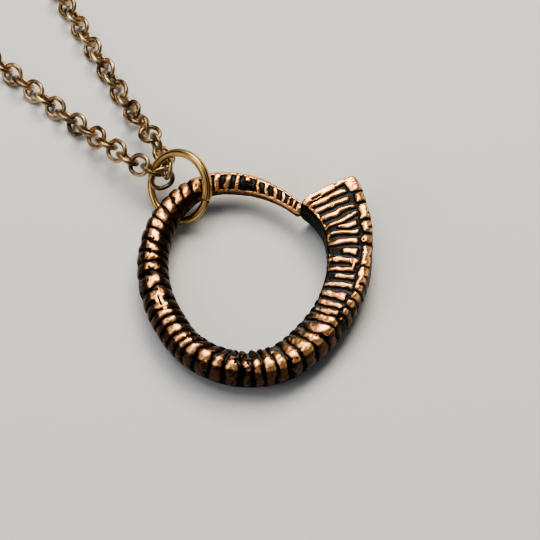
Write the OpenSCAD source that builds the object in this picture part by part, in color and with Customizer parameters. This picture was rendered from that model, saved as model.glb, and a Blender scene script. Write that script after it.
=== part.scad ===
// Ram horn necklace, lying flat: a ribbed cast horn on a jump ring, and a chain that is
// drawn through the ring and lies away from it in a long teardrop with the clasp at its far end.
// The origin is at the middle of the whole necklace, on the surface. +Y runs from the horn to
// the clasp, and +Z is up. Sizes are in millimetres and angles in degrees.

/* [Chain] */
// Length of the whole chain with its clasp, all the way round
chain_length = 508; // [500:1:516]
// Thickness of the wire of a link
link_wire = 0.74; // [0.72:0.01:0.75]
// Length of a link
link_length = 4.2; // [4.18:0.01:4.22]
// Width of a link
link_width = 3.75; // [3.72:0.01:3.78]
// Angle of each strand away from the line through the middle
strand_spread = 9.7; // [9.6:0.1:9.8]

/* [Horn] */
// Thickness of the horn, as a share of the sizes in its table
horn_fullness = 1; // [0.92:0.01:1]
// Number of ribs from the base to the tip
rib_count = 60; // [50:1:66]
// Depth of the grooves between the ribs, as a share of the horn's half width
groove_share = 0.13; // [0.05:0.01:0.18]

/* [Jump ring] */
// Thickness of the ring's wire
ring_wire = 1.2; // [1.15:0.01:1.22]
// Diameter of the ring, measured to the middle of its wire
ring_size = 10.56; // [10.5:0.01:10.6]

/* [Clasp] */
// Thickness of the wire of the clasp's loop
clasp_wire = 0.95; // [0.9:0.05:1]
// Thickness of the wire of the clasp's eye
eye_wire = 0.9; // [0.8:0.05:0.9]

/* [Hidden] */

wire_sides = 24;
bend_sides = 48;
bronze = [0.66, 0.52, 0.36];
yellow_brass = [0.80, 0.66, 0.38];
old_brass = [0.70, 0.58, 0.42];

// Links
bend_radius = (link_width - link_wire) / 2;
link_straight = link_length - link_width;
link_play = 0.12;
lying_gap = 0.02;
link_pitch = link_length - 2 * link_wire - link_play;
lying_roll = 45;
lying_height = bend_radius * sin(lying_roll) + link_wire / 2 + lying_gap;

// The strands leave one apex near the horn, and a round arc joins them at the far end
front_edge = 33.17;
fold_length = 15.5;
right_start = 13.6;
left_start = 14.2;
turn_sweep = 90 + strand_spread;
strand_per_reach = cos(strand_spread) + sin(strand_spread) * turn_sweep * PI / 180;
reach = (chain_length - fold_length + right_start + left_start) / 2 / strand_per_reach;
arc_radius = reach * sin(strand_spread);
straight_end = reach * cos(strand_spread);
strand_end = reach * strand_per_reach;

// Clasp: a plain oval loop with a thick back and a round eye, in one piece
loop_size = 5.1;
loop_straight = 4.1;
loop_shift = 1.6;
eye_size = 3.7;
eye_overlap = 0.2;
clasp_play = 0.5;
back_overhang = 0.15;
back_thick = 2 * lying_height;
bevel = back_thick / 5;
loop_end = loop_shift + (loop_straight + loop_size) / 2;
eye_middle = loop_shift - (loop_straight + loop_size) / 2 - eye_size / 2 + eye_overlap;
eye_end = eye_size / 2 - eye_middle;
right_gap = loop_end + link_length / 2 - link_wire - clasp_wire / 2 - clasp_play;
left_gap = eye_end + link_length / 2 - link_wire - eye_wire / 2 - clasp_play;
end_place = right_gap - link_length / 2;
clasp_sag = end_place * end_place / 2 / arc_radius;
back_middle = (loop_size - clasp_wire + back_thick) / 2 - back_overhang;

// The apex lies where the whole necklace has its middle at the origin
back_edge = (loop_size + clasp_wire) / 2 - clasp_sag;
apex_y = (front_edge - reach - arc_radius - back_edge) / 2;

// Place on the strand of a given side, at distance t from the apex, in plan
function plan_point(side, t) =
    t < straight_end
    ? [side * t * sin(strand_spread), t * cos(strand_spread)]
    : let (angle = (t - straight_end) / arc_radius * 180 / PI - strand_spread)
      [side * arc_radius * cos(angle), reach + arc_radius * sin(angle)];

// Share of the lift that is left at distance t, from 1 at the ring to 0 where the chain lies
function ease(t, start, run) =
    let (u = min(1, max(0, (t - start) / run)))
    (1 - u) * (1 - u) * (1 + 2 * u);

// Columns of a strand: which side, start, lift above lying, push to the side, run of the lift
SIDE = 0;
START = 1;
LIFT = 2;
PUSH = 3;
RUN = 4;
RIGHT_STRAND = [1, right_start, 3.08, -0.15, 13];
LEFT_STRAND = [-1, left_start, 2.75, -0.68, 15];

function strand_point(strand, t) =
    let (plan = plan_point(strand[SIDE], t), share = ease(t, strand[START], strand[RUN]))
    [plan.x + strand[PUSH] * share, plan.y, lying_height + strand[LIFT] * share];

// Turned links close to the ring, then every other link lies on its other side
RIGHT_ROLLS = [95, 0, 100, 28];
LEFT_ROLLS = [45];
function roll_of(rolls, k) =
    k < len(rolls) ? rolls[k] : (k - len(rolls)) % 2 == 0 ? -lying_roll : lying_roll;

// Links in the fold at the ring, placed one by one from the apex, with the length direction's
// heading and climb and the turn about it
HEADING = 3;
CLIMB = 4;
ROLL = 5;
FOLD_RIGHT = [
    // x, y, z, heading, climb, roll
    [1.70, 10.87, 4.59, 75, -1.5, 23],
    [0.71, 8.49, 4.77, 64.5, -8, -70],
];
FOLD_LEFT = [
    // x, y, z, heading, climb, roll
    [-0.99, 7.57, 4.20, -12.5, 7.5, 55.5],
    [-1.48, 9.33, 4.96, -80.5, 9, -39],
    [-2.50, 11.55, 4.67, -73, 14.5, 39.5],
];

// Jump ring, tilted and leaning on the horn
ring_middle = [-0.04, 4.26, 4.83];
ring_tilt = 52;
ring_heading = 191;

// Horn: it turns clockwise from its base, seen from above, and the rows are evenly spaced
horn_middle = [0.6, -13.6];
base_angle = 10.4;
horn_turn = 353;
section_points = 16;
TURN_RADIUS = 0;
WIDTH = 1;
HEIGHT = 2;
MIDDLE_Z = 3;
LEAN = 4;
SQUARE = 5;
SLANT = 6;
HORN = [
    // radius, width, height, middle z, lean of the top face, squareness of the top, slant of a rib
    [17.00, 9.80, 7.0, 3.50, 0, 4.6, 16],
    [16.10, 8.30, 6.9, 3.45, 0, 4.0, -4],
    [15.05, 7.00, 6.8, 3.40, 2, 3.4, 0],
    [14.90, 6.40, 6.5, 3.30, 5, 3.2, -10],
    [15.25, 5.60, 6.0, 3.20, 10, 3.0, -20],
    [16.30, 5.50, 5.6, 3.10, 14, 2.8, -20],
    [18.10, 5.50, 5.3, 3.05, 18, 2.6, -12],
    [18.40, 5.30, 5.3, 3.10, 22, 2.4, -4],
    [17.50, 5.20, 5.2, 3.25, 26, 2.3, 8],
    [15.90, 5.15, 5.1, 3.40, 30, 2.2, 10],
    [15.10, 5.00, 4.9, 3.50, 34, 2.2, 6],
    [14.90, 4.95, 4.7, 3.60, 34, 2.2, 0],
    [15.25, 4.80, 4.3, 3.85, 30, 2.2, 0],
    [16.00, 4.30, 3.8, 3.90, 26, 2.1, 0],
    [16.45, 3.75, 3.5, 3.85, 22, 2.0, 0],
    [15.35, 3.60, 3.3, 3.70, 18, 2.0, 0],
    [13.85, 2.85, 2.7, 3.60, 10, 2.0, 0],
    [12.70, 2.20, 2.2, 3.60, 0, 2.0, 0],
];
// Where a rib rises, its crest starts and ends and it falls, as shares of the rib's pitch
RIB_PROFILE = [[0.05, 0], [0.25, 1], [0.75, 1], [0.95, 0]];

// Smooth value of a column of the horn's table at a share from 0 at the base to 1 at the tip
function horn_row(i) = HORN[min(len(HORN) - 1, max(0, i))];
function horn_value(column, share) =
    let (
        place = share * (len(HORN) - 1),
        i = min(len(HORN) - 2, floor(place)),
        u = place - i,
        before = horn_row(i - 1)[column],
        a = horn_row(i)[column],
        b = horn_row(i + 1)[column],
        after = horn_row(i + 2)[column],
        slope_a = (b - before) / 2,
        slope_b = (after - a) / 2
    )
    a + u * (slope_a + u * (3 * (b - a) - 2 * slope_a - slope_b + u * (slope_a + slope_b - 2 * (b - a))));

function signed_power(value, power) = sign(value) * pow(abs(value), power);

// One point of the horn's section, squarer above than below: grooves cut the top and the
// sides, and fade out underneath, the lower the larger their reach is
groove_reach = 0.6;
function horn_point(share, angle, crest, size) =
    let (
        power = sin(angle) > 0 ? 2 / horn_value(SQUARE, share) : 1,
        cover = min(1, max(0, sin(angle) + groove_reach)),
        scale_here = size * horn_fullness * (1 - (1 - crest) * groove_share * cover),
        across = horn_value(WIDTH, share) / 2 * scale_here * signed_power(cos(angle), power),
        up = horn_value(HEIGHT, share) / 2 * scale_here * signed_power(sin(angle), power),
        lean = horn_value(LEAN, share),
        radius = horn_value(TURN_RADIUS, share),
        outward = radius + across * cos(lean) - up * sin(lean),
        slip = across * tan(horn_value(SLANT, share)),
        direction = base_angle - share * horn_turn - slip / radius * 180 / PI
    )
    [
        horn_middle.x + outward * cos(direction),
        horn_middle.y + outward * sin(direction),
        horn_value(MIDDLE_Z, share) + across * sin(lean) + up * cos(lean),
    ];

// Rings of points from the base to the rounded tip: share along the horn, 1 on a crest and 0 in
// a groove, and size, which only the tip's last rings reduce
SHARE = 0;
CREST = 1;
SIZE = 2;
horn_rings = concat(
    [[0, 1, 1]],
    [for (k = [0:rib_count - 1]) for (step = RIB_PROFILE) [(k + step[0]) / rib_count, step[1], 1]],
    [[1, 1, 0.9], [1.003, 1, 0.6]]
);

module ram_horn() {
    n = section_points;
    last = len(horn_rings) - 1;
    points = [
        for (ring = horn_rings)
            for (i = [0:n - 1])
                horn_point(ring[SHARE], 360 * (i + 0.5) / n, ring[CREST], ring[SIZE])
    ];
    sides = [
        for (r = [0:last - 1])
            for (i = [0:n - 1])
                [r * n + i, (r + 1) * n + i, (r + 1) * n + (i + 1) % n, r * n + (i + 1) % n]
    ];
    base_cap = [for (i = [0:n - 1]) i];
    tip_cap = [for (i = [n - 1:-1:0]) last * n + i];
    color(bronze)
        translate([0, apex_y, 0])
            polyhedron(points = points, faces = concat(sides, [base_cap, tip_cap]), convexity = 6);
}

// A whole or part ring of round wire in the XY plane
module wire_ring(size, wire, sweep = 360) {
    rotate_extrude(angle = sweep, $fn = bend_sides)
        translate([size / 2, 0])
            circle(d = wire, $fn = wire_sides);
}

// An oval of round wire, long along X: two half rings and two straight bars
module wire_oval(size, straight, wire) {
    for (side = [-1, 1]) {
        translate([side * straight / 2, 0, 0])
            rotate([0, 0, -side * 90])
                wire_ring(size, wire, 180);
        translate([-straight / 2, side * size / 2, 0])
            rotate([0, 90, 0])
                cylinder(d = wire, h = straight, $fn = wire_sides);
    }
}

module link_at(place, heading, climb, roll) {
    translate([place.x, place.y + apex_y, place.z])
        rotate([0, 0, heading])
            rotate([0, -climb, 0])
                rotate([roll, 0, 0])
                    wire_oval(2 * bend_radius, link_straight, link_wire);
}

module fold_links(rows) {
    for (row = rows)
        link_at([row.x, row.y, row.z], row[HEADING], row[CLIMB], row[ROLL]);
}

// Links of a strand from the fold to the clasp, one pitch apart along the lifted line, which is
// longer than its plan by the mean square of its slope
slope_share = 0.6;
module strand_links(strand, rolls, last_gap) {
    start = strand[START];
    run = strand[RUN];
    extra = slope_share * strand[LIFT] * strand[LIFT] / run;
    path = strand_end - last_gap - start + extra;
    steps = ceil(path / link_pitch);
    pitch = path / steps;
    places = [
        for (k = 0, t = start;
             k <= steps;
             drop = (ease(t, start, run) - ease(t + pitch, start, run)) * strand[LIFT],
             t = t + sqrt(pitch * pitch - drop * drop),
             k = k + 1)
            strand_point(strand, t)
    ];
    for (k = [0:steps]) {
        way = places[min(steps, k + 1)] - places[max(0, k - 1)];
        link_at(places[k], atan2(way.y, way.x), atan2(way.z, norm([way.x, way.y])), roll_of(rolls, k));
    }
}

module clasp() {
    color(old_brass)
        translate([0, apex_y + reach + arc_radius - clasp_sag, lying_height]) {
            translate([loop_shift, 0, 0])
                wire_oval(loop_size, loop_straight, clasp_wire);
            translate([eye_middle, 0, 0])
                wire_ring(eye_size, eye_wire);
            translate([loop_shift, -back_middle, 0])
                rotate([0, 90, 0])
                    translate([0, 0, -loop_straight / 2])
                        rotate_extrude($fn = bend_sides)
                            polygon([
                                [0, -bevel],
                                [back_thick / 2 - bevel, -bevel],
                                [back_thick / 2, bevel],
                                [back_thick / 2, loop_straight - bevel],
                                [back_thick / 2 - bevel, loop_straight + bevel],
                                [0, loop_straight + bevel],
                            ]);
        }
}

module jump_ring() {
    color(yellow_brass)
        translate([ring_middle.x, ring_middle.y + apex_y, ring_middle.z])
            rotate([0, ring_tilt, ring_heading])
                wire_ring(ring_size, ring_wire);
}

module chain_left() {
    color(old_brass) {
        fold_links(FOLD_LEFT);
        strand_links(LEFT_STRAND, LEFT_ROLLS, left_gap);
    }
}

module chain_right() {
    color(old_brass) {
        fold_links(FOLD_RIGHT);
        strand_links(RIGHT_STRAND, RIGHT_ROLLS, right_gap);
    }
}

ram_horn();
jump_ring();
chain_left();
chain_right();
clasp();
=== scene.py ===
"""Ram horn necklace: the dressed model of a cast bronze horn on a brass chain."""

import logging
import math
from dataclasses import dataclass
from enum import Enum
from typing import Any, Callable, NamedTuple

import bmesh
import bpy
import numpy as np
from mathutils import Matrix, Vector


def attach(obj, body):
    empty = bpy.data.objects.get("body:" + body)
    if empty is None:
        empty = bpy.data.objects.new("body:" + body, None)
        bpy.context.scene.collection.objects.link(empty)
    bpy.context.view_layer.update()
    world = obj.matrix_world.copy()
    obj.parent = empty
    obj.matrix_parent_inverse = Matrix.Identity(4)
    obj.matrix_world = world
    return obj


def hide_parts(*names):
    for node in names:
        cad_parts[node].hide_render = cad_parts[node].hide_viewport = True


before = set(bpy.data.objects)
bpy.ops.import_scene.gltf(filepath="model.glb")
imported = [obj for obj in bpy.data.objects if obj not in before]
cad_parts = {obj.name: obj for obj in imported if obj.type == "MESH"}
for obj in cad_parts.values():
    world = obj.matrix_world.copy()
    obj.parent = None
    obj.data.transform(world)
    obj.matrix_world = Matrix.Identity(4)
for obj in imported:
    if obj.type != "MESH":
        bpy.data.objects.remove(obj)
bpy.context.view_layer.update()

MM = 0.001
LOG = logging.getLogger("ram_horn_necklace")

Array = np.ndarray
Colour = tuple[float, float, float]
Span = tuple[float, float]


class Layer(Enum):
    """Per-vertex values that a finish reads from its piece."""

    # Wear of the crests, with painted shade on the inner walls
    WEAR = "wear"
    # Dark flanks: the bronze's patina and painted shade
    WALL = "wall"
    # Grey dust in the grooves, with painted sheen
    DUST = "dust"
    GRAIN = "grain"


def smoothstep(low: float, high: float, value: Array) -> Array:
    """Smooth share, 0 at low and 1 at high."""
    share = np.clip((value - low) / (high - low), 0.0, 1.0)
    return share * share * (3.0 - 2.0 * share)


def past(limit: float, soft: float, value: Array) -> Array:
    """Smooth share of what lies past a limit, which is soft on both sides."""
    return smoothstep(limit - soft, limit + soft, value)


def bell(value: Array) -> Array:
    """Bell curve, 1 at zero."""
    return np.exp(-(value ** 2))


def arch(value: Array) -> Array:
    """Round arch, 1 at zero and 0 from 1 outwards."""
    return np.sqrt(np.clip(1.0 - value ** 2, 0.0, 1.0))


def ripple(points: Array, length: float, seed: int, waves: int) -> Array:
    """Gentle random relief made of crossing waves.

    Args:
        points: Places, one row each, in millimetres.
        length: Mean wave length in millimetres.
        seed: Seed that fixes the pattern.
        waves: How many waves are added up.

    Returns:
        One value per place, about -1 to 1.
    """
    rng = np.random.default_rng(seed)
    total = np.zeros(len(points))
    for _ in range(waves):
        way = rng.normal(size=3)
        way *= 2.0 * math.pi / (np.linalg.norm(way) * length * rng.uniform(0.6, 1.5))
        total += np.sin(points @ way + rng.uniform(0.0, 2.0 * math.pi))
    return total / math.sqrt(waves)


class Value:
    """One output of a shader graph; arithmetic on it adds Math nodes."""

    def __init__(self, graph: "Graph", socket: bpy.types.NodeSocket) -> None:
        """Wrap a socket of a graph."""
        self.graph = graph
        self.socket = socket

    def __add__(self, other: Any) -> "Value":
        """Sum."""
        return self.graph.math("ADD", self, other)

    __radd__ = __add__

    def __sub__(self, other: Any) -> "Value":
        """Difference."""
        return self.graph.math("SUBTRACT", self, other)

    def __rsub__(self, other: Any) -> "Value":
        """Difference, reflected."""
        return self.graph.math("SUBTRACT", other, self)

    def __mul__(self, other: Any) -> "Value":
        """Product."""
        return self.graph.math("MULTIPLY", self, other)

    __rmul__ = __mul__

    def swing(self, height: float) -> "Value":
        """A noise of the given height about zero."""
        return (self - 0.5) * height

    def clamped(self) -> "Value":
        """The value, kept from 0 to 1."""
        return self.graph.fitted(self, (0.0, 1.0), (0.0, 1.0))

    def step(self, span: Span) -> "Value":
        """Smooth share, 0 at the span's start and 1 at its end."""
        return self.graph.fitted(self, span, (0.0, 1.0), smooth=True)


class Noise(NamedTuple):
    """A noise of a finish: lumps to a millimetre, detail, and roughness of the detail."""

    per_mm: float
    detail: float
    rough: float


class Graph:
    """The node graph of one material with one principled shader."""

    def __init__(self, name: str) -> None:
        """Start an empty material.

        Args:
            name: Name of the material.
        """
        self.material = bpy.data.materials.new(name)
        self.material.use_nodes = True
        self.tree = self.material.node_tree
        self.tree.nodes.clear()
        output = self.tree.nodes.new("ShaderNodeOutputMaterial")
        self.shader = self.tree.nodes.new("ShaderNodeBsdfPrincipled")
        self.tree.links.new(self.shader.outputs["BSDF"], output.inputs["Surface"])

    def node(self, kind: str, settings: dict[str, Any], inputs: dict[Any, Any],
             output: Any = 0) -> Value:
        """Add a node.

        Args:
            kind: The node's type.
            settings: Its properties, which are set first.
            inputs: Values or links of its sockets, by name or number.
            output: Name or number of the output that is read.

        Returns:
            The node's output.
        """
        new = self.tree.nodes.new(kind)
        for key, value in settings.items():
            setattr(new, key, value)
        for key, value in inputs.items():
            self.feed(new.inputs[key], value)
        return Value(self, new.outputs[output])

    def feed(self, socket: bpy.types.NodeSocket, value: Any) -> None:
        """Link or set one input socket.

        Args:
            socket: The socket.
            value: A value of the graph, a colour or a number.
        """
        if isinstance(value, Value):
            self.tree.links.new(value.socket, socket)
        elif isinstance(value, tuple) and len(value) == 3 and socket.type == "RGBA":
            socket.default_value = (*value, 1.0)
        else:
            socket.default_value = value

    def math(self, operation: str, *values: Any) -> Value:
        """The result of a Math node."""
        return self.node("ShaderNodeMath", {"operation": operation}, dict(enumerate(values)))

    def fitted(self, value: Value, span: Span, to: Span, smooth: bool = False) -> Value:
        """A value carried from its span to another and kept in it, eased if smooth."""
        kind = "SMOOTHSTEP" if smooth else "LINEAR"
        return self.node("ShaderNodeMapRange", {"interpolation_type": kind, "clamp": True},
                         dict(enumerate((value, *span, *to))))

    def mix(self, share: Any, first: Any, second: Any) -> Value:
        """Two colours mixed by a share."""
        return self.node("ShaderNodeMix", {"data_type": "RGBA", "blend_type": "MIX"},
                         {0: share, 6: first, 7: second}, 2)

    def layer(self, layer: Layer, output: str = "Fac") -> Value:
        """A per-vertex value of the piece."""
        return self.node("ShaderNodeAttribute", {"attribute_name": layer.value}, {}, output)

    def place(self) -> Value:
        """Object coordinates of the piece."""
        return self.node("ShaderNodeTexCoord", {}, {}, "Object")

    def noise(self, vector: Value, noise: Noise) -> Value:
        """A noise from 0 to 1 on the given coordinates."""
        return self.node("ShaderNodeTexNoise", {"noise_dimensions": "3D"},
                         {"Vector": vector, "Scale": noise.per_mm / MM, "Detail": noise.detail,
                          "Roughness": noise.rough})

    def bump(self, height: Value, depth_mm: float, strength: float) -> Value:
        """Normals of a fine relief of the given depth."""
        inputs = {"Height": height, "Distance": depth_mm * MM, "Strength": strength}
        return self.node("ShaderNodeBump", {}, inputs, "Normal")

    def surface(self, **sockets: Any) -> bpy.types.Material:
        """Feed the shader's sockets.

        Args:
            sockets: Their values by name, with _ for a blank.

        Returns:
            The finished material.
        """
        for key, value in sockets.items():
            self.feed(self.shader.inputs[key.replace("_", " ")], value)
        return self.material


@dataclass(frozen=True)
class CastBronze:
    """Cast bronze, blackened in its recesses and polished on its ribs. Depths in millimetres."""

    polished: Colour = (0.97, 0.54, 0.215)
    rosy: Colour = (0.86, 0.395, 0.175)
    # Dark brown of the flanks: partly patina, partly painted shade where they face away from the
    # top
    wall: Colour = (0.066, 0.032, 0.0175)
    soot: Colour = (0.004, 0.0035, 0.0035)
    # Grey of the dust in the grooves, which also stands for a painted sheen on their walls
    dust: Colour = (0.100, 0.108, 0.112)

    coarse: Noise = Noise(0.55, 4.0, 0.6)
    fine: Noise = Noise(2.6, 5.0, 0.62)
    grit: Noise = Noise(9.0, 3.0, 0.6)
    pits: Noise = Noise(1.5, 2.0, 0.5)
    lumps: Noise = Noise(1.3, 3.0, 0.55)

    # Where each mask sets in and is full
    pits_span: Span = (0.63, 0.70)
    bare_span: Span = (0.42, 0.74)
    polished_span: Span = (0.35, 0.7)
    patina_and_shade_span: Span = (0.1, 0.85)
    grit_span: Span = (0.35, 0.6)

    # How ragged the noises make the polish and the brown walls of patina and painted shade
    bare_fine: float = 0.6
    bare_coarse: float = 0.2
    bare_pits: float = 0.45
    patina_and_shade_coarse: float = 0.4
    patina_and_shade_fine: float = 0.3

    soot_rough: float = 0.58
    polish_smooth: float = 0.26
    rough_fine: float = 0.16
    lumps_share: float = 0.7
    fine_share: float = 0.3
    relief_depth: float = 0.14
    relief_strength: float = 0.6

    def material(self) -> bpy.types.Material:
        """The finish, which reads wear, patina and dust, with painted shade and sheen.

        Returns:
            The material.
        """
        graph = Graph("cast_bronze")
        where = graph.place()
        coarse = graph.noise(where, self.coarse)
        fine = graph.noise(where, self.fine)
        grit = graph.noise(where, self.grit).step(self.grit_span)
        pits = graph.noise(where, self.pits).step(self.pits_span)
        wear, wall, dust = (graph.layer(layer) for layer in (Layer.WEAR, Layer.WALL, Layer.DUST))
        bare = wear + fine.swing(self.bare_fine) + coarse.swing(self.bare_coarse)
        bare = (bare - pits * self.bare_pits).step(self.bare_span)
        # Painted shade with patina: the flanks that face away from the top go dark brown
        brown = wall + coarse.swing(self.patina_and_shade_coarse) + fine.swing(self.patina_and_shade_fine)
        metal = graph.mix(coarse.step(self.polished_span), self.rosy, self.polished)
        metal = graph.mix(brown.step(self.patina_and_shade_span), metal, self.wall)
        # Grey dust in the grooves, partly a painted sheen on their walls
        grey = (dust * grit).clamped()
        recess = graph.mix(grey, self.soot, self.dust)
        rough = self.soot_rough - bare * self.polish_smooth + fine.swing(self.rough_fine)
        relief = graph.noise(where, self.lumps) * self.lumps_share + fine * self.fine_share
        return graph.surface(Base_Color=graph.mix(bare, recess, metal),
                             Metallic=1.0 - grey * (1.0 - bare), Roughness=rough.clamped(),
                             Normal=graph.bump(relief, self.relief_depth, self.relief_strength))


@dataclass(frozen=True)
class DrawnBrass:
    """Yellow brass wire with drawn lines along it and brown in them. Depths in millimetres."""

    bright: Colour = (0.72, 0.465, 0.185)
    deep: Colour = (0.23, 0.142, 0.058)
    stain: Colour = (0.070, 0.040, 0.016)

    lines: Noise = Noise(4.6, 2.0, 0.5)
    broad: Noise = Noise(0.9, 2.0, 0.5)
    speck: Noise = Noise(1.2, 4.0, 0.6)

    # Where the bright metal and the unstained metal set in, and the noises' shares in them
    bright_span: Span = (0.48, 0.58)
    bright_lines: float = 0.9
    bright_broad: float = 0.2
    clean_span: Span = (0.42, 0.50)
    clean_lines: float = 0.8
    clean_speck: float = 0.25

    rough_lines: Span = (0.3, 0.7)
    rough: Span = (0.38, 0.26)
    line_depth: float = 0.08
    line_strength: float = 0.8

    def material(self) -> bpy.types.Material:
        """The finish, which reads the wire's own grain.

        Returns:
            The material.
        """
        graph = Graph("drawn_brass")
        grain = graph.layer(Layer.GRAIN, "Vector")
        lines = graph.noise(grain, self.lines)
        broad = graph.noise(grain, self.broad)
        speck = graph.noise(graph.place(), self.speck)
        bright = (lines * self.bright_lines + broad * self.bright_broad).step(self.bright_span)
        clean = (lines * self.clean_lines + speck * self.clean_speck).step(self.clean_span)
        metal = graph.mix(bright, self.deep, self.bright)
        return graph.surface(Base_Color=graph.mix(clean, self.stain, metal), Metallic=1.0,
                             Roughness=graph.fitted(lines, self.rough_lines, self.rough),
                             Normal=graph.bump(lines, self.line_depth, self.line_strength))


@dataclass(frozen=True)
class AntiqueBrass:
    """Antique brass of the links: pale where it rubs and brown between. Depths in millimetres."""

    pale: Colour = (0.56, 0.395, 0.225)
    brown: Colour = (0.115, 0.074, 0.036)
    stain: Colour = (0.018, 0.010, 0.006)

    cloud: Noise = Noise(0.42, 4.0, 0.6)
    fine: Noise = Noise(3.4, 4.0, 0.6)

    # Where the pale metal and the unstained metal set in, and the noises' shares in the second
    pale_span: Span = (0.34, 0.66)
    clean_span: Span = (0.44, 0.60)
    clean_fine: float = 0.7
    clean_cloud: float = 0.6

    rough_fine: Span = (0.3, 0.7)
    rough: Span = (0.40, 0.26)
    relief_depth: float = 0.02
    relief_strength: float = 0.5

    def material(self) -> bpy.types.Material:
        """The finish, on the piece's own coordinates.

        Returns:
            The material.
        """
        graph = Graph("antique_brass")
        where = graph.place()
        cloud = graph.noise(where, self.cloud)
        fine = graph.noise(where, self.fine)
        clean = (fine * self.clean_fine + cloud * self.clean_cloud).step(self.clean_span)
        metal = graph.mix(cloud.step(self.pale_span), self.brown, self.pale)
        return graph.surface(Base_Color=graph.mix(clean, self.stain, metal), Metallic=1.0,
                             Roughness=graph.fitted(fine, self.rough_fine, self.rough),
                             Normal=graph.bump(fine, self.relief_depth, self.relief_strength))


@dataclass(frozen=True)
class StudioPaper:
    """Pale matt paper of the floor."""

    tint: Colour = (0.60, 0.595, 0.59)
    rough: float = 0.9
    gloss: float = 0.2

    def material(self) -> bpy.types.Material:
        """The finish."""
        return Graph("studio_paper").surface(Base_Color=self.tint, Roughness=self.rough,
                                             Specular_IOR_Level=self.gloss)


def add_piece(name: str, mesh: bmesh.types.BMesh, finish: bpy.types.Material) -> bpy.types.Object:
    """Make an object of a finished bmesh, smooth, at the origin.

    Args:
        name: Name of the piece.
        mesh: Its shape, in metres and in place; it is freed.
        finish: Its material.

    Returns:
        The new object, linked to the scene.
    """
    data = bpy.data.meshes.new(name)
    for face in mesh.faces:
        face.smooth = True
    mesh.to_mesh(data)
    mesh.free()
    data.materials.append(finish)
    piece = bpy.data.objects.new(name, data)
    bpy.context.scene.collection.objects.link(piece)
    return piece


class Row(Enum):
    """Columns of the horn's table."""

    RADIUS, WIDTH, HEIGHT, MIDDLE, LEAN, SQUARE, SLANT = range(7)


class Rib(Enum):
    """Columns of the table of the ribs' character."""

    (TURN, REACH, FLAT, DEPTH, INNER_RIM, INNER_AT, OUTER_RIM, KEEL, WALL_CUT, DUST, POLISH, TILT,
     FLANK, INNER_REACH, KEEL_AT) = range(15)


class Ridge(NamedTuple):
    """One rib: degrees where it crosses the middle, slant, share across of its start, height."""

    degrees: float
    slant: float
    start: float = -2.0
    height: float = 1.0


class Strip(NamedTuple):
    """A bar or a slot along the horn: start and end in degrees, share across, half its width."""

    start: float
    end: float
    across: float
    half: float = 0.10


class Gap(NamedTuple):
    """A gap between lumps: degrees, width in degrees, and the share across where it starts."""

    degrees: float
    width: float
    start: float = -2.0


class Wave(NamedTuple):
    """Random relief: wave length in mm, what it adds to the seed, waves added up, and height."""

    length: float
    offset: int
    waves: int
    height: float = 1.0


@dataclass
class Skin:
    """The horn's points before the relief, each value one row by one point.

    Facing is how far a point faces up once its section leans, and outward how far it faces away
    from the horn's middle. Below is 0 on the underside and 1 elsewhere, and cut is the share of
    the grooves' depth.
    """

    share: Array
    beyond: Array
    size: Array
    turn: Array
    at: Array
    half: Array
    across: Array
    up: Array
    side: Array
    rise: Array
    facing: Array
    outward: Array
    below: Array
    cut: Array


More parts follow.
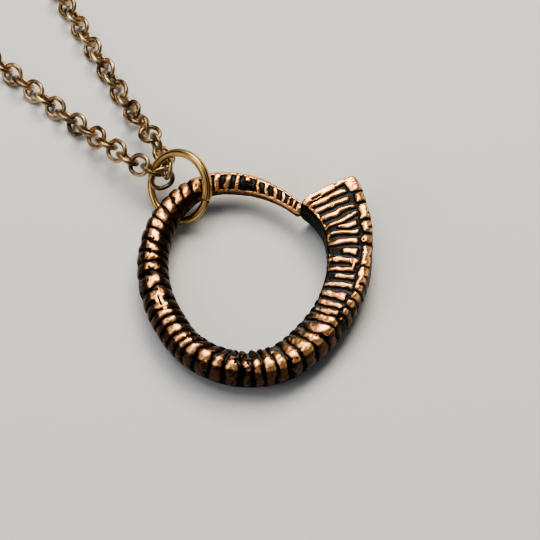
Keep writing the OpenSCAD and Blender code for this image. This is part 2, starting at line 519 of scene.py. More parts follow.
@dataclass
class RamHorn:
    """The curled horn: one ribbed casting with its base cut flat.

    Sizes are in millimetres, angles in degrees. Shares across are 0 in the middle of the top and 1
    half a width further out.
    """

    finish: CastBronze = CastBronze()
    middle: tuple[float, float] = (0.6, -117.227)
    base_angle: float = 10.4
    turn: float = 353.0
    before_zero: float = 1.0
    length_rows: int = 985
    round_points: int = 96
    cap_rows: int = 12
    tip_rows: int = 8
    tip_length: float = 0.8
    floor_gap: float = 0.02
    merge_gap: float = 0.0002
    relief: float = 0.034
    seed: int = 7

    # Rounding of the base's edge: share along the horn, and share of the section's size
    base_round: tuple[Span, ...] = ((0.0, 0.972), (0.0012, 0.992), (0.004, 1.0))

    # Points tried round a section, how many each way give a normal, the height from which the
    # points lie closer, and how close above it and below
    fine_points: int = 1441
    normal_reach: int = 3
    close_from: float = -0.1
    closeness: Span = (1.7, 0.8)

    # Radius, width, height, middle height, lean of the top, squareness and slant of a rib
    rows: tuple[tuple[float, ...], ...] = (
        (17, 9.8, 7, 3.5, 0, 6.5, 16),
        (16.1, 8.3, 6.9, 3.45, 0, 6, -4),
        (15.05, 7, 6.8, 3.4, 2, 5, 0),
        (14.9, 6.4, 6.5, 3.3, 6, 4.4, -10),
        (15.25, 5.6, 6, 3.2, 12, 4.2, -20),
        (16.3, 5.5, 5.6, 3.1, 16, 4, -20),
        (18.1, 5.5, 5.3, 3.05, 20, 3.6, -12),
        (18.4, 5.3, 5.3, 3.1, 24, 3, -4),
        (17.5, 5.2, 5.2, 3.25, 29, 2.3, 8),
        (15.9, 5.15, 5.1, 3.4, 30, 2.2, 10),
        (15.1, 5, 4.9, 3.5, 34, 2.2, 6),
        (14.9, 4.95, 4.7, 3.6, 34, 2.2, 0),
        (15.25, 4.8, 4.3, 3.85, 30, 2.2, 0),
        (16, 4.3, 3.8, 3.9, 26, 2.1, 0),
        (16.45, 3.75, 3.5, 3.85, 22, 2, 0),
        (15.35, 3.6, 3.3, 3.7, 18, 2, 0),
        (13.85, 2.85, 2.7, 3.6, 10, 2, 0),
        (12.7, 2.2, 2.2, 3.6, 0, 2, 0),
    )

    # The ribs from the base to the tip, in degrees round the curl from a little inside the base
    ribs: tuple[Ridge, ...] = tuple(Ridge(*rib) for rib in (
        (0.4, 15), (5.8, 12), (10.8, 11), (16.3, 1), (22.1, -9), (26.2, 5, -0.45, 0.9), (30.9, 6),
        (38.0, 4), (45.0, 18, -0.35, 0.85), (50.9, 6), (57.2, -4), (61.7, -6, -0.5), (68.7, -9),
        (75.8, -12), (82.2, -15), (88.2, -20), (93.5, -26), (99.5, -27), (106.8, -27),
        (112.4, -23), (117.8, -17), (124.5, -15), (129.8, -14), (134.8, -13),
        (139.8, -15, -2, 0.9), (144.2, -2, -2, 0.95), (148.6, 12), (154, 22), (159.8, 25),
        (165, 25), (169.6, 24), (174.4, 22), (179.8, 20), (186.4, 17), (191.8, 14), (198.2, 12),
        (209.2, 10), (218.6, 12), (225.2, 14), (232.2, 14), (239.9, 14), (248.2, 14), (255.2, 16),
        (263.3, 16), (270.3, 14), (277.0, 12), (284.8, 10), (291.2, 8), (296.4, 12), (302.6, 20),
        (307.8, 18), (313.8, 5, 0.05, 0.9), (320.4, -12), (326.4, -18), (332.2, -16),
        (337.8, -16), (342.8, -16), (347.4, -16), (351.9, -10),
    ))
    bars: tuple[Strip, ...] = (
        Strip(50.9, 57.2, 0.27), Strip(187.0, 203.5, 0.46), Strip(188.5, 199.5, 0.59),
        Strip(190.0, 199.0, 0.73), Strip(191.0, 198.0, 0.86), Strip(165.0, 169.6, 0.50),
        Strip(134.8, 144.2, 0.30),
    )
    slots: tuple[Strip, ...] = (
        Strip(1.7, 2.5, -0.52, 0.22), Strip(191.5, 197.0, 0.66, 0.05),
        Strip(202.8, 205.0, 0.62, 0.05),
    )
    keel_gaps: tuple[Gap, ...] = (
        Gap(9.6, 0.8, 0.2), Gap(17.2, 1.1, 0.0), Gap(23.3, 0.9, 0.90), Gap(26.8, 1.0, 0.0),
        Gap(30.8, 0.8, 0.85), Gap(34.2, 1.1, 0.0), Gap(40.3, 1.1, 0.0), Gap(47.0, 0.7, 1.0),
        Gap(54.6, 0.7, 0.6), Gap(61.0, 0.9, 0.9), Gap(66.0, 1.0, 0.85), Gap(71.2, 1.1, 0.0),
        Gap(76.8, 1.0, 0.0), Gap(82.2, 1.0, 0.0), Gap(87.6, 1.1, 0.0),
    )

    # Where the outer rim starts across, by degrees round the curl, and its notches
    rim_starts: tuple[Span, ...] = ((308.0, 0.62), (322.0, 0.34), (338.0, 0.38), (352.0, 0.56))
    rim_notches: tuple[Gap, ...] = (
        Gap(297.6, 0.8), Gap(304.0, 0.7), Gap(311.5, 0.6), Gap(319.0, 0.6),
    )

    # Broad band along the base's edge: its end in degrees and stop across, softness and skew
    edge_band: Span = (3.0, 0.15)
    edge_soft: float = 0.5
    edge_skew: float = 2.0

    # Ribs: spread of widths and heights, the first and the greatest width, least and last half
    # pitch, reach of the slant, start of the waves, soft ends, inner flank, and height of a bar
    widths: Span = (0.86, 1.14)
    heights: Span = (0.86, 1.0)
    first_width: float = 1.2
    most_width: float = 0.95
    least_span: float = 0.6
    last_span: float = 2.6
    slant_reach: float = 1.1
    waviness: Span = (0.0, 8.0)
    end_soft: float = 0.08
    inner_flank: Span = (0.15, -0.6)
    bar_height: float = 0.85

    # Slots: how they fade in and out in degrees, depth, and share of the width at full depth
    slot_fade: Span = (0.5, 0.3)
    slot_depth: float = 0.9
    slot_core: float = 0.6

    # Keel: half its width, height, depth of its gaps, and the slot that parts it from the ribs
    keel_half: float = 0.27
    keel_height: float = 0.95
    gap_depth: float = 0.9
    keel_slot: Span = (-0.44, -0.36)
    keel_from: Span = (1.0, 3.0)
    slot_wander: float = 0.5

    # Rims: how softly they rise, how much more the outer one wanders, and depth of its notches
    inner_rise: float = 0.10
    outer_rise: float = 0.12
    outer_wander: float = 2.0
    notch_depth: float = 0.8

    # Casting faults: pits, and a messy patch with its place and width in degrees
    pit_span: Span = (1.3, 1.9)
    pit_depth: float = 0.5
    messy_span: Span = (0.1, 0.9)
    messy_patch: Span = (141.0, 5.0)
    messy_depth: float = 0.4

    # How far up the top and the walls face, at least and in full
    top_span: Span = (0.25, 0.75)
    under_span: Span = (-0.75, -0.1)

    # Grooves: half width for the full depth, and how they get shallow on the inner flank
    full_half: float = 2.2
    shallow_span: Span = (-0.3, -0.8)
    shallow_gain: float = 1.6
    most_shallow: float = 0.7
    flank_span: Span = (0.2, -0.9)

    # Roughness below and its gain above, relief of the closed ends, and highest relief
    rough_shares: Span = (0.4, 0.6)
    cap_span: Span = (0.0, 0.6)
    highest: float = 1.25

    # Wear of the walls, less on the inner one as painted shade, and how softly the polish ends on
    # them, past which the flanks get painted shade
    wall_wear: float = 0.5
    inner_shade: float = 0.4
    inner_wall: Span = (-0.2, -0.7)
    polish_and_light_soft: float = 0.45
    polish_and_light_top: float = 1.08

    # Grey dust, which also stands for a painted sheen: where it lies between ribs, its shares, its
    # height, and where it is left out
    dust_and_sheen_line: Span = (0.80, 0.93)
    dust_and_sheen_shares: Span = (0.4, 0.6)
    dust_and_sheen_height: Span = (0.0, 0.35)
    clean_across: Span = (0.4, 0.9)
    clean_turn: Span = (84.0, 96.0)

    broad_wobble: Wave = Wave(4.5, 0, 8, 0.10)
    fine_wobble: Wave = Wave(1.5, 1, 8, 0.05)
    rib_wave: Wave = Wave(1.7, 8, 8, 0.10)
    keel_wave: Wave = Wave(1.6, 13, 8, 0.05)
    keel_lumps: Wave = Wave(1.9, 4, 8, 0.20)
    rim_wave: Wave = Wave(1.9, 3, 6, 0.035)
    pit_wave: Wave = Wave(0.9, 9, 14)
    messy_wave: Wave = Wave(1.2, 10, 9)
    broad_rough: Wave = Wave(1.5, 5, 12)
    fine_rough: Wave = Wave(0.75, 12, 14, 0.5)

    # Degrees round the curl, reach of a rib in half pitches, flatness of its crest, depth of the
    # grooves, inner rim and its share across, outer rim, keel, cut of the walls, grey dust and
    # painted sheen, how steep the polish goes before the flanks' painted shade, its tilt outwards,
    # drop of the inner flank, how much wider the ribs are on it, or below zero narrower, and the
    # keel's share across
    character: tuple[tuple[float, ...], ...] = (
        (0, 0.62, 2.6, 0.48, 1, -0.9, 0, 1, 0.15, 0.5, 0.3, 4, 0, 0, 0.78),
        (30, 0.58, 2.4, 0.52, 1, -0.92, 0, 1, 0.15, 0.5, 0.3, 4, 0, 0, 0.78),
        (60, 0.58, 2.4, 0.54, 1, -0.88, 0, 1, 0.2, 0.5, 0.34, 6, 0, 0, 0.79),
        (68, 0.58, 2.4, 0.56, 0.8, -0.9, 0, 1, 0.3, 0.55, 0.45, 12, 0, 0, 0.93),
        (80, 0.62, 2.4, 0.58, 0.3, -0.92, 0, 1, 0.5, 0.65, 0.62, 17, 0, 0, 1),
        (89, 0.72, 2.4, 0.6, 0, -0.9, 0, 0.9, 0.6, 0.75, 0.76, 20, 0.04, -0.3, 1.18),
        (95, 0.84, 2.4, 0.6, 0, -0.75, 0, 0, 0.7, 0.9, 0.82, 22, 0.12, -0.45, 1.2),
        (128, 0.88, 2.4, 0.6, 0, -0.75, 0, 0, 0.8, 1, 0.77, 18, 0.1, -0.35, 1.05),
        (142, 0.78, 2.2, 0.6, 0, -0.75, 0, 0, 0.8, 1, 0.9, 24, 0.14, 0.1, 1.05),
        (150, 0.86, 2.4, 0.56, 0, -0.75, 0, 0, 0.7, 1, 0.92, 22, 0.18, 0.25, 1.05),
        (180, 0.88, 2.4, 0.54, 0, -0.75, 0, 0, 0.7, 0.9, 0.91, 10, 0.14, 0.25, 1.05),
        (200, 0.84, 2.4, 0.54, 0, -0.75, 0, 0, 0.75, 0.7, 0.9, 5, 0.1, 0.35, 1.05),
        (240, 0.86, 2.4, 0.5, 0, -0.75, 0, 0, 0.75, 0.3, 0.93, 1, 0.05, 0.4, 1.05),
        (280, 0.84, 2.6, 0.46, 0, -0.9, 0, 0, 0.8, 0.25, 0.87, 2, 0, 0.2, 1.05),
        (293, 0.6, 2.4, 0.46, 0.9, -0.86, 0.9, 0, 0.9, 0.3, 0.28, 0, 0, 0, 1.05),
        (310, 0.52, 2.4, 0.46, 0.9, -0.86, 0.9, 0, 0.9, 0.35, 0.26, 0, 0, 0, 1.05),
        (352, 0.54, 2.4, 0.38, 0.9, -0.82, 0.9, 0, 0.9, 0.3, 0.26, 0, 0, 0, 1.05),
    )

    def _row(self, column: Row, share: Array) -> Array:
        """A column of the horn's table, smooth along the horn.

        Args:
            column: The column.
            share: Places along the horn.

        Returns:
            The column's value at each place.
        """
        table = np.array([row[column.value] for row in self.rows])
        place = np.clip(share, 0.0, 1.0) * (len(table) - 1)
        i = np.minimum(len(table) - 2, np.floor(place).astype(int))
        u = place - i
        before, a = table[np.maximum(i - 1, 0)], table[i]
        b, after = table[i + 1], table[np.minimum(i + 2, len(table) - 1)]
        slope_a, slope_b = (b - before) / 2, (after - a) / 2
        bend = 3 * (b - a) - 2 * slope_a - slope_b
        return a + u * (slope_a + u * (bend + u * (slope_a + slope_b - 2 * (b - a))))

    def _rib(self, column: Rib, degrees: Array) -> Array:
        """A column of the table of the ribs' character."""
        table = np.array(self.character)
        return np.interp(degrees, table[:, Rib.TURN.value], table[:, column.value])

    def _wave(self, wave: Wave, places: Array) -> Array:
        """Random relief at the given places."""
        return wave.height * ripple(places, wave.length, self.seed + wave.offset, wave.waves)

    def _section(self, share: Array) -> tuple[Array, Array, Array, Array, Array]:
        """Points round the section at each row, closer together on the top.

        Args:
            share: Place of each row along the horn, 0 at the base and 1 at the tip.

        Returns:
            Distance across, height, their outward normal's two parts, and the length round the
            section from the middle of the top, each one row by one point, in millimetres.
        """
        fine = np.linspace(-0.5, 1.5, self.fine_points) * math.pi
        index = np.arange(self.fine_points)
        across, up, side, rise, reach = np.zeros((5, len(share), self.round_points))
        width, height = self._row(Row.WIDTH, share), self._row(Row.HEIGHT, share)
        square = self._row(Row.SQUARE, share)
        sine, cosine = np.sin(fine), np.cos(fine)
        for k in range(len(share)):
            power = np.where(sine > 0, 2.0 / square[k], 1.0)
            x = width[k] / 2 * np.sign(cosine) * np.abs(cosine) ** power
            z = height[k] / 2 * np.sign(sine) * np.abs(sine) ** power
            step = np.hypot(np.diff(x), np.diff(z))
            length = np.concatenate([[0.0], np.cumsum(step)])
            closeness = np.where(sine[1:] > self.close_from, *self.closeness)
            dense = np.concatenate([[0.0], np.cumsum(step * closeness)])
            goal = np.arange(self.round_points) / self.round_points * dense[-1]
            across[k], up[k] = np.interp(goal, dense, x), np.interp(goal, dense, z)
            reach[k] = np.interp(0.5 * math.pi, fine, length) - np.interp(goal, dense, length)
            around = np.interp(goal, dense, index)
            low = np.clip(around - self.normal_reach, 0, index[-1])
            high = np.clip(around + self.normal_reach, 0, index[-1])
            dx = np.interp(high, index, x) - np.interp(low, index, x)
            dz = np.interp(high, index, z) - np.interp(low, index, z)
            size = np.hypot(dx, dz) + 1e-9
            side[k], rise[k] = dz / size, -dx / size
        return across, up, side, rise, reach

    def _skin(self) -> Skin:
        """The horn's points before the relief.

        Returns:
            The points, with the rows that close the base and the tip.
        """
        along = np.linspace(0.0, 1.0, self.length_rows)
        cap = np.sqrt(np.linspace(0.0, 1.0, self.cap_rows + 1)[:-1])
        tip = np.cos(np.linspace(0.0, 0.5, self.tip_rows + 1)[1:] * math.pi)
        places, sizes = np.array(self.base_round).T
        size = np.concatenate([cap * sizes[0], np.interp(along, places, sizes), tip])
        bulge = self.tip_length * np.sin(np.arccos(np.clip(tip, 0, 1)))
        beyond = np.concatenate([np.zeros(self.cap_rows), np.zeros(self.length_rows), bulge])
        rows = np.concatenate([np.zeros(self.cap_rows), along, np.ones(self.tip_rows)])
        across, up, side, rise, reach = self._section(rows)
        share = np.repeat(rows[:, None], self.round_points, axis=1)
        half = self._row(Row.WIDTH, share) / 2
        lean = np.radians(self._row(Row.LEAN, share))
        facing = rise * np.cos(lean) + side * np.sin(lean)
        turn = share * self.turn - self.before_zero
        top, below = smoothstep(*self.top_span, facing), smoothstep(*self.under_span, facing)
        outward = side * np.cos(lean) - rise * np.sin(lean)
        cut = top + (1.0 - top) * below * self._rib(Rib.WALL_CUT, turn)
        return Skin(share, beyond[:, None], size[:, None], turn, reach / half, half, across, up,
                    side, rise, facing, outward, below, cut)

    def _placed(self, skin: Skin, sunk: Array | float = 0.0) -> Array:
        """Places of the points on the curled horn.

        Args:
            skin: The points.
            sunk: How far each is sunk into the surface.

        Returns:
            Their places, in millimetres.
        """
        out = skin.across * skin.size - sunk * skin.side
        high = skin.up * skin.size - sunk * skin.rise
        radius = self._row(Row.RADIUS, skin.share)
        lean = np.radians(self._row(Row.LEAN, skin.share))
        slant = np.tan(np.radians(self._row(Row.SLANT, skin.share)))
        outward = radius + out * np.cos(lean) - high * np.sin(lean)
        degrees = (self.base_angle - skin.share * self.turn
                   - np.degrees((out * slant + skin.beyond) / radius))
        x = self.middle[0] + outward * np.cos(np.radians(degrees))
        y = self.middle[1] + outward * np.sin(np.radians(degrees))
        z = self._row(Row.MIDDLE, skin.share) + out * np.sin(lean) + high * np.cos(lean)
        return np.stack([x, y, z], axis=-1)

    def _ribs(self, turn: Array, at: Array, places: Array) -> tuple[Array, Array]:
        """Height of the ribs, with their bars, their slots and the band at the base.

        Args:
            turn: Degrees round the curl.
            at: Share across.
            places: The points, one row each.

        Returns:
            The height, and how far each point is from its rib's middle, 1 amid a groove.
        """
        rng = np.random.default_rng(self.seed)
        centres = np.array([rib.degrees for rib in self.ribs])

        # Degrees that each rib gains half a width out, besides its section's own slant
        share = (centres + self.before_zero) / self.turn
        slants = np.radians([[rib.slant for rib in self.ribs], self._row(Row.SLANT, share)])
        gain = np.subtract(*np.tan(slants)) * self._row(Row.WIDTH, share) / 2
        skew = np.degrees(gain / self._row(Row.RADIUS, share))

        wobble = self._wave(self.broad_wobble, places) + self._wave(self.fine_wobble, places)
        pitch = np.interp(turn, centres, np.gradient(centres))
        moved = turn + wobble * pitch * smoothstep(*self.waviness, turn)
        slanted = np.clip(at, -self.slant_reach, self.slant_reach)
        lines = centres[:, None] + skew[:, None] * slanted[None, :]
        lines[0] = centres[0]
        nearest = np.argmin(np.abs(lines - moved[None, :]), axis=0)
        index = np.arange(len(turn))
        centre = lines[nearest, index]
        side = np.where(moved < centre, -1, 1)
        other = lines[np.clip(nearest + side, 0, len(centres) - 1), index]
        span = np.maximum(self.least_span, np.abs(other - centre) / 2)
        span = np.where(other == centre, self.last_span, span)
        away = np.clip(np.abs(moved - centre) / span, 0.0, 1.0)
        away = np.where(turn < centres[0], 0.0, away)
        width = rng.uniform(*self.widths, len(centres))
        width[0] = self.first_width
        spread = self._rib(Rib.REACH, turn) * width[nearest]
        spread = spread * (1.0 + self._wave(self.rib_wave, places))
        narrowed = self._rib(Rib.INNER_REACH, turn) * smoothstep(*self.inner_flank, at)
        spread = spread * (1.0 + narrowed)
        inside = np.clip(away / np.minimum(self.most_width, spread), 0.0, 1.0)
        height = np.sqrt(1.0 - inside ** self._rib(Rib.FLAT, turn))
        tall = rng.uniform(*self.heights, len(centres))
        tall = tall * np.array([rib.height for rib in self.ribs])
        begins = np.array([rib.start for rib in self.ribs])[nearest]
        height = height * tall[nearest] * past(0.0, self.end_soft, at - begins)
        band_end, band_stop = self.edge_band
        band = 1.0 - past(band_end, self.edge_soft, moved + self.edge_skew * skew[0] * at)
        height = np.maximum(height, band * (1.0 - past(band_stop, self.end_soft, at)))
        for bar in self.bars:
            on = (turn > bar.start) * (turn < bar.end)
            crest = arch((at - bar.across) / bar.half)
            height = np.maximum(height, self.bar_height * crest * on)
        outside, into = self.slot_fade
        for slot in self.slots:
            along = smoothstep(slot.start - outside, slot.start + into, turn)
            along = along * smoothstep(slot.end + outside, slot.end - into, turn)
            cut = smoothstep(slot.half, self.slot_core * slot.half, np.abs(at - slot.across))
            height = height * (1.0 - self.slot_depth * along * cut)
        return height, away

    def _keel(self, turn: Array, at: Array, places: Array) -> tuple[Array, Array]:
        """Height of the lumpy keel along the outer edge.

        Args:
            turn: Degrees round the curl.
            at: Share across.
            places: The points, one row each.

        Returns:
            The height, and the share of the ribs that the slot beside the keel leaves.
        """
        keel = self._rib(Rib.KEEL, turn)
        uneven = self._wave(self.keel_wave, places)
        keel_at = self._rib(Rib.KEEL_AT, turn) + uneven
        slot = smoothstep(*self.keel_slot, at - keel_at - uneven * self.slot_wander)
        left = 1.0 - keel * slot * smoothstep(*self.keel_from, turn)
        gaps = np.zeros_like(turn)
        for gap in self.keel_gaps:
            notch = bell((turn - gap.degrees) / gap.width) * past(gap.start, self.end_soft, at)
            gaps = np.maximum(gaps, notch)
        lumps = self.keel_height + self._wave(self.keel_lumps, places)
        bead = np.where(at > keel_at, 1.0, arch((at - keel_at) / self.keel_half))
        return bead * keel * (1.0 - self.gap_depth * gaps) * lumps, left

    def _rims(self, turn: Array, at: Array, places: Array) -> Array:
        """Height of the rims that join the ribs' ends.

        Args:
            turn: Degrees round the curl.
            at: Share across.
            places: The points, one row each.

        Returns:
            The height.
        """
        wave = self._wave(self.rim_wave, places)
        inside = self._rib(Rib.INNER_AT, turn) + wave - at
        inner = self._rib(Rib.INNER_RIM, turn) * smoothstep(0.0, self.inner_rise, inside)
        outside = at - (np.interp(turn, *np.array(self.rim_starts).T) + self.outer_wander * wave)
        outer = self._rib(Rib.OUTER_RIM, turn) * smoothstep(0.0, self.outer_rise, outside)
        for notch in self.rim_notches:
            outer = outer * (1.0 - self.notch_depth * bell((turn - notch.degrees) / notch.width))
        return np.maximum(inner, outer)

    def _crest(self, turn: Array, at: Array, places: Array) -> tuple[Array, Array]:
        """Height of the whole relief, 0 in a groove and 1 on a crest.

        Args:
            turn: Degrees round the curl.
            at: Share across.
            places: The points, one row each.

        Returns:
            The height, and the share of grey dust and sheen, which lies along the middle of a
            groove.
        """
        ribs, away = self._ribs(turn, at, places)
        keel, left = self._keel(turn, at, places)
        height = np.maximum.reduce([ribs * left, self._rims(turn, at, places), keel])
        pits = smoothstep(*self.pit_span, self._wave(self.pit_wave, places))
        messy_at, messy_width = self.messy_patch
        messy = smoothstep(*self.messy_span, self._wave(self.messy_wave, places))
        messy = messy * bell((turn - messy_at) / messy_width)
        height = height * (1.0 - self.pit_depth * pits) * (1.0 - self.messy_depth * messy)
        return np.clip(height, 0.0, self.highest), smoothstep(*self.dust_and_sheen_line, away)

    def _sunk(self, skin: Skin, height: Array, plain: Array) -> Array:
        """How far the relief sinks each point into the horn.

        Args:
            skin: The points.
            height: Height of the relief at each.
            plain: The points' places before the relief, one row each.

        Returns:
            The depths, in millimetres.
        """
        rough = self._wave(self.broad_rough, plain) + self._wave(self.fine_rough, plain)
        rough = rough.reshape(skin.share.shape)
        depth = self._rib(Rib.DEPTH, skin.turn) * np.minimum(1.0, skin.half / self.full_half)
        under, over = self.rough_shares
        sunk = depth * (1.0 - height) * skin.cut
        sunk = sunk - self.relief * rough * (under + over * skin.below)
        inner = self.shallow_gain * np.abs(self._rib(Rib.INNER_REACH, skin.turn))
        shallow = np.minimum(self.most_shallow, inner)
        sunk = sunk * (1.0 - shallow * smoothstep(*self.shallow_span, skin.at))
        flank = self._rib(Rib.FLANK, skin.turn) * smoothstep(*self.flank_span, skin.at)
        sunk = sunk + flank * skin.below
        return sunk * smoothstep(*self.cap_span, skin.size)

    def _layers(self, skin: Skin, height: Array, line: Array) -> dict[Layer, Array]:
        """Values that the finish reads.

        Args:
            skin: The points.
            height: Height of the relief at each.
            line: Share of dust and painted sheen by the place in a groove.

        Returns:
            The values by layer.
        """
        # Painted shade: the inner walls get less wear, so they go dark like the recesses
        inner_wall = smoothstep(*self.inner_wall, skin.side)
        plain_wear_and_shade = self.wall_wear - self.inner_shade * inner_wall
        wear = height * skin.cut + (1.0 - skin.cut) * plain_wear_and_shade
        # Band of polish about the top, tilted outwards; past its edge the flanks get painted shade
        polish_and_light = self._rib(Rib.POLISH, skin.turn)
        tilt = np.radians(self._rib(Rib.TILT, skin.turn))
        tilted = skin.facing * np.cos(tilt) + skin.outward * np.sin(tilt)
        steep = (tilted - polish_and_light) / (self.polish_and_light_soft * (self.polish_and_light_top - polish_and_light))
        # Painted shade with patina: 1 on the flanks past the polished band, which face away from
        # the top
        wall = 1.0 - smoothstep(-1.0, 1.0, steep)
        # Grey dust along the grooves, which also stands for a painted sheen on their walls
        beside, along = self.dust_and_sheen_shares
        dust = self._rib(Rib.DUST, skin.turn) * (beside + along * line)
        dust = dust * (1.0 - smoothstep(*self.dust_and_sheen_height, height))
        clean = smoothstep(*self.clean_across, skin.at) * smoothstep(*self.clean_turn, skin.turn)
        return {Layer.WEAR: wear, Layer.WALL: wall, Layer.DUST: dust * (1.0 - clean)}

    def build(self) -> bmesh.types.BMesh:
        """The horn's mesh: a grid that is rolled into the casting, with wear, patina, dust, painted
        shade and painted sheen in its layers.

        Returns:
            The closed mesh, in metres.
        """
        skin = self._skin()
        plain = self._placed(skin).reshape(-1, 3)
        height, line = (values.reshape(skin.share.shape)
                        for values in self._crest(skin.turn.ravel(), skin.at.ravel(), plain))
        shaped = self._placed(skin, self._sunk(skin, height, plain))
        shaped[..., 2] = np.maximum(shaped[..., 2], self.floor_gap)
        return self._roll(shaped * MM, self._layers(skin, height, line))

    def _roll(self, places: Array, layers: dict[Layer, Array]) -> bmesh.types.BMesh:
        """Roll a flat grid into the horn and close it.

        Args:
            places: Place of each row's points, in metres.
            layers: Values of the same points.

        Returns:
            The closed mesh with its layers.
        """
        rows, points = places.shape[:2]
        mesh = bmesh.new()
        made = {layer: mesh.verts.layers.float.new(layer.value) for layer in layers}
        bmesh.ops.create_grid(mesh, x_segments=rows - 1, y_segments=points, size=1.0)
        for vert in mesh.verts:
            row = round((vert.co.x + 1.0) / 2.0 * (rows - 1))
            point = round((vert.co.y + 1.0) / 2.0 * points) % points
            for layer, values in layers.items():
                vert[made[layer]] = float(values[row, point])
            vert.co = places[row, point]
        bmesh.ops.remove_doubles(mesh, verts=mesh.verts, dist=self.merge_gap * MM)
        bmesh.ops.recalc_face_normals(mesh, faces=mesh.faces)
        return mesh

    def make(self) -> None:
        """Build and dress the horn."""
        piece = add_piece("horn_casting", self.build(), self.finish.material())
        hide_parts("ram_horn")
        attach(piece, "root")


@dataclass
class JumpRing:
    """The round-wire ring: thicker beside its butt joint, with shallow lines along the wire.

    Sizes are in millimetres, angles in degrees.
    """

    finish: DrawnBrass = DrawnBrass()
    middle: tuple[float, float, float] = (-0.04, -99.367, 4.83)
    tilt: float = 52.0
    heading: float = 191.0
    wire: float = 1.25
    size: float = 10.56
    joint_at: float = 101.0
    joint_gap: float = 0.17
    joint_bevel: float = 0.09
    bevel_steps: int = 3
    thick_end: float = 0.36
    thick_degrees: float = 118.0
    thick_flatness: float = 3.0
    line_depth: float = 0.05
    line_count: int = 5
    line_wander: float = 0.6
    line_bends: int = 2
    line_sharpness: int = 4
    grain_stretch: float = 0.03
    sides: int = 48
    steps: int = 180

    def _drawn(self, place: Vector) -> tuple[Vector, Vector]:
        """Carry a point of the plain ring onto the drawn wire.

        Args:
            place: The point, in millimetres.

        Returns:
            Its place in the wire's grain, which is stretched along the wire, and its new place.
        """
        radius = self.size / 2
        angle = math.atan2(place.y, place.x) % (2 * math.pi)
        out = math.hypot(place.x, place.y) - radius
        round_wire = math.atan2(place.z, out)
        share = min(math.degrees(angle) / self.thick_degrees, 1.0)
        thick = self.thick_end * max(0.0, math.cos(share * math.pi / 2))
        wander = self.line_wander * math.sin(angle * self.line_bends)
        line = max(0.0, math.cos(self.line_count * round_wire + wander)) ** self.line_sharpness
        grow = 1.0 - self.line_depth * line
        far = radius + out * grow * (1.0 + thick / self.thick_flatness)
        grain = Vector((out, place.z, angle * radius * self.grain_stretch))
        high = place.z * (grow * (1.0 + thick))
        return grain, Vector((far * math.cos(angle), far * math.sin(angle), high))

    def build(self) -> bmesh.types.BMesh:
        """The ring's mesh: a circle that is spun almost all the way round, with rounded ends.

        Returns:
            The closed mesh, in metres.
        """
        mesh = bmesh.new()
        grain = mesh.verts.layers.float_vector.new(Layer.GRAIN.value)
        radius = self.size / 2
        upright = Matrix.Rotation(math.radians(90), 4, "X")
        bmesh.ops.create_circle(mesh, cap_ends=True, segments=self.sides, radius=self.wire / 2,
                                matrix=Matrix.Translation((radius, 0, 0)) @ upright)
        bmesh.ops.spin(mesh, geom=mesh.faces[:], angle=2 * math.pi - self.joint_gap / radius,
                       steps=self.steps, axis=(0, 0, 1), cent=(0, 0, 0), use_duplicate=False)
        bmesh.ops.recalc_face_normals(mesh, faces=mesh.faces)
        rims = [edge for edge in mesh.edges if any(len(face.verts) > 4 for face in edge.link_faces)]
        bmesh.ops.bevel(mesh, geom=rims, offset=self.joint_bevel, affect="EDGES",
                        segments=self.bevel_steps, profile=0.5, material=-1)
        for vert in mesh.verts:
            along, vert.co = self._drawn(vert.co)
            vert[grain] = along * MM
        place = (Matrix.Translation(self.middle)
                 @ Matrix.Rotation(math.radians(self.heading), 4, "Z")
                 @ Matrix.Rotation(math.radians(self.tilt), 4, "Y")
                 @ Matrix.Rotation(math.radians(self.joint_at), 4, "Z"))
        bmesh.ops.transform(mesh, matrix=Matrix.Scale(MM, 4) @ place, verts=mesh.verts)
        return mesh

    def make(self) -> None:
        """Build and dress the ring."""
        piece = add_piece("jump_ring_wire", self.build(), self.finish.material())
        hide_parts("jump_ring")
        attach(piece, "root")


@dataclass
class Chain:
    """The two strands and the clasp, which keep their own solids."""

    finish: AntiqueBrass = AntiqueBrass()
    nodes: tuple[str, ...] = ("chain_left", "chain_right", "clasp")

    def dress(self) -> None:
        """Give the strands and the clasp their finish."""
        material = self.finish.material()
        for name in self.nodes:
            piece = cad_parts[name]
            piece.data.materials.clear()
            piece.data.materials.append(material)


class SoftLight(NamedTuple):
    """A square light: name, degrees round from the camera, elevation, distance, side and watts."""

    name: str
    azimuth: float
    elevation: float
    distance: float
    size: float
    power: float
    colour: Colour = (1.0, 1.0, 1.0)


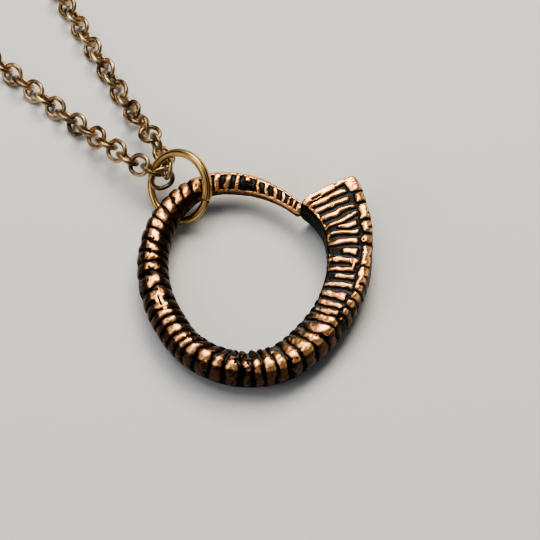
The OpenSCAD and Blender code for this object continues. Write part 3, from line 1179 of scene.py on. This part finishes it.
@dataclass
class Studio:
    """Floor, lights and camera. Sizes in millimetres and degrees."""

    paper: StudioPaper = StudioPaper()
    target: tuple[float, float, float] = (2.54, -119.407, 3.0)
    azimuth: float = -36.87
    elevation: float = 55.0
    distance: float = 303.0
    lens: float = 133.33
    sensor: float = 36.0
    clip_start_m: float = 0.01
    look: str = "AgX - Medium High Contrast"
    floor_size: float = 3000.0
    sky: Colour = (0.55, 0.57, 0.60)
    sky_strength: float = 0.28

    # A key light behind the necklace, a wide top light and a weak fill
    lights: tuple[SoftLight, ...] = (
        SoftLight("key_light", 168.0, 56.0, 560.0, 330.0, 3.8, (1.0, 0.92, 0.78)),
        SoftLight("top_light", 240.0, 70.0, 900.0, 500.0, 3.3),
        SoftLight("fill_light", -60.0, 35.0, 900.0, 400.0, 1.6),
    )

    def _aim(self, thing: bpy.types.Object, azimuth: float, elevation: float,
             distance: float) -> None:
        """Put a light or the camera in the scene, facing the target.

        Args:
            thing: The light or the camera.
            azimuth: Its angle about the target.
            elevation: Its angle above the floor.
            distance: How far it is from the target.
        """
        a, e = math.radians(azimuth), math.radians(elevation)
        away = Vector((math.sin(a) * math.cos(e), -math.cos(a) * math.cos(e), math.sin(e)))
        thing.location = (Vector(self.target) + away * distance) * MM
        thing.rotation_euler = away.to_track_quat("Z", "Y").to_euler()
        bpy.context.scene.collection.objects.link(thing)

    def add_floor(self) -> None:
        """Lay the floor."""
        mesh = bmesh.new()
        bmesh.ops.create_grid(mesh, x_segments=1, y_segments=1, size=self.floor_size / 2 * MM)
        floor = add_piece("studio_floor", mesh, self.paper.material())

    def add_lights(self) -> None:
        """Hang the lights, and set a pale sky."""
        for light in self.lights:
            data = bpy.data.lights.new(light.name, "AREA")
            data.shape = "SQUARE"
            data.size = light.size * MM
            data.energy = light.power
            data.color = light.colour
            self._aim(bpy.data.objects.new(light.name, data), self.azimuth + light.azimuth,
                      light.elevation, light.distance)
        world = bpy.data.worlds.new("studio_world")
        world.use_nodes = True
        background = world.node_tree.nodes["Background"]
        background.inputs["Color"].default_value = (*self.sky, 1.0)
        background.inputs["Strength"].default_value = self.sky_strength
        bpy.context.scene.world = world

    def add_camera(self) -> None:
        """Place the camera at the photograph's angle, and set the picture's contrast."""
        data = bpy.data.cameras.new("camera")
        data.sensor_fit = "HORIZONTAL"
        data.sensor_width = self.sensor
        data.lens = self.lens
        data.clip_start = self.clip_start_m
        camera = bpy.data.objects.new("camera", data)
        self._aim(camera, self.azimuth, self.elevation, self.distance)
        bpy.context.scene.camera = camera
        bpy.context.scene.view_settings.look = self.look


def main() -> None:
    """Build the necklace, then the studio."""
    logging.basicConfig(level=logging.INFO, format="%(name)s: %(message)s")
    studio = Studio()
    studio.add_camera()
    pieces: list[tuple[str, Callable[[], None]]] = [
        ("horn", RamHorn().make), ("jump ring", JumpRing().make),
        ("chain and clasp", Chain().dress),
        ("floor", studio.add_floor), ("lights", studio.add_lights),
    ]
    for name, step in pieces:
        step()
        LOG.info("made the %s", name)
    bpy.context.view_layer.update()


if __name__ == "__main__":
    main()
